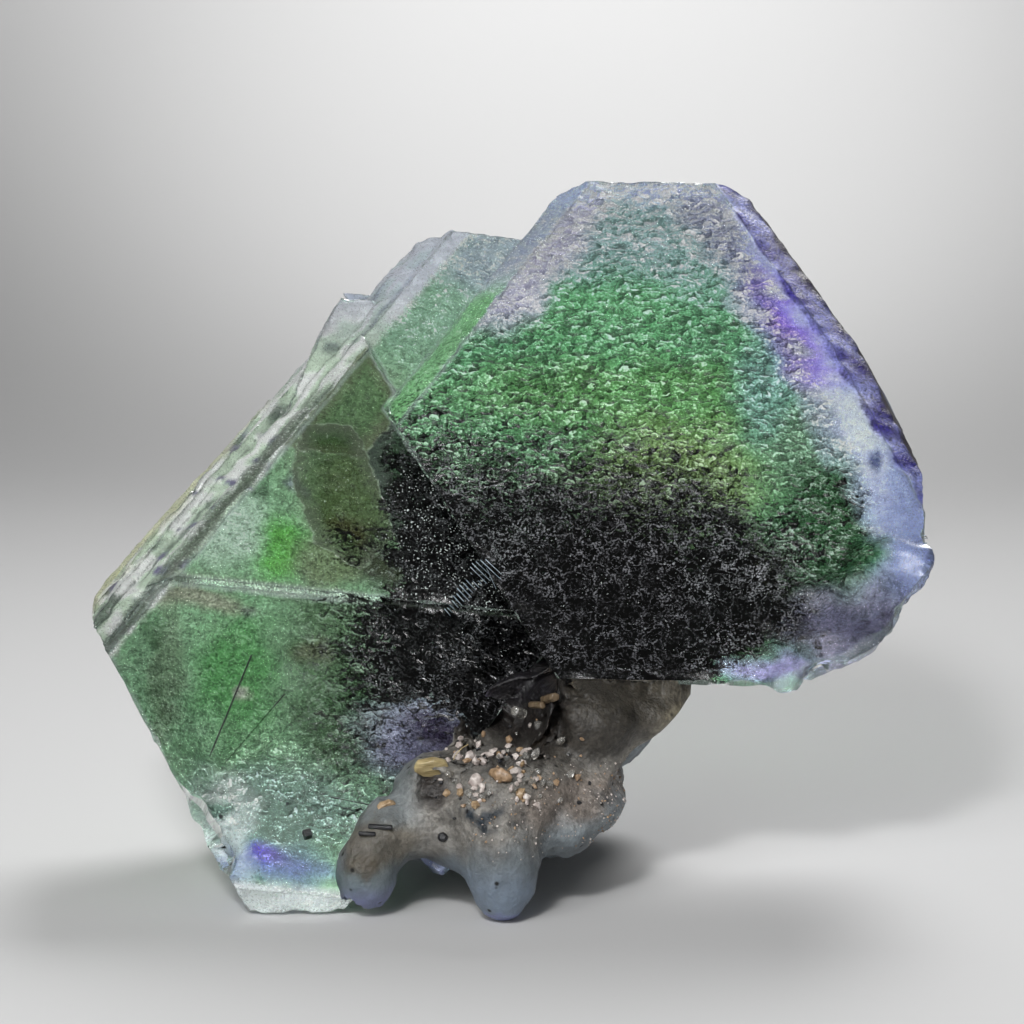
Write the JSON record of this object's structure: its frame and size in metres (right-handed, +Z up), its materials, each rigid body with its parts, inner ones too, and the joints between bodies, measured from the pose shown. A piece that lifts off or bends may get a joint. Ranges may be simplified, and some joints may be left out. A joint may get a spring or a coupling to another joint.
{
  "type": "fluorite crystal specimen",
  "caption": "Two intergrown green and purple octahedral fluorite crystals on a knobbly milky matrix, standing free as a display mineral specimen.",
  "frame": {"origin": "middle of the bounding box in X and Y, on the surface that the specimen stands on", "axes": "+Z up, +X along the width with the large right-hand crystal on the +X side, -Y towards the viewer of the display side"},
  "size_m": [0.0478, 0.0404, 0.0375],
  "materials": {
    "fluorite": "clear to sparkling, green in the middle and lavender to purple at the rims, dissolved faces with a fine mosaic of tiny growth hillocks",
    "matrix": "milky waxy grey-beige crust, blue-grey and translucent in the drop, dusted with fine dark specks",
    "mica": "yellow-brown striated flake with a soft pearly shine",
    "feldspar": "dull white grain",
    "siderite": "orange-brown, slightly waxy",
    "brown_column": "brown lengthwise-striated columns",
    "quartz": "small clear grain, glassy",
    "tourmaline": "black, glassy, striated"
  },
  "bodies": {
    "root": {"fluorite_crystals": "fluorite", "matrix": "matrix", "mica_flake": "mica", "feldspar_grain": "feldspar", "siderite_grain": "siderite", "siderite_flake": "siderite", "brown_column_1": "brown_column", "brown_column_2": "brown_column", "quartz_grain": "quartz", "tourmaline_rod_1": "tourmaline", "tourmaline_rod_2": "tourmaline", "tourmaline_grain": "tourmaline", "fluorite_tip": "fluorite"}
  },
  "joints": []
}
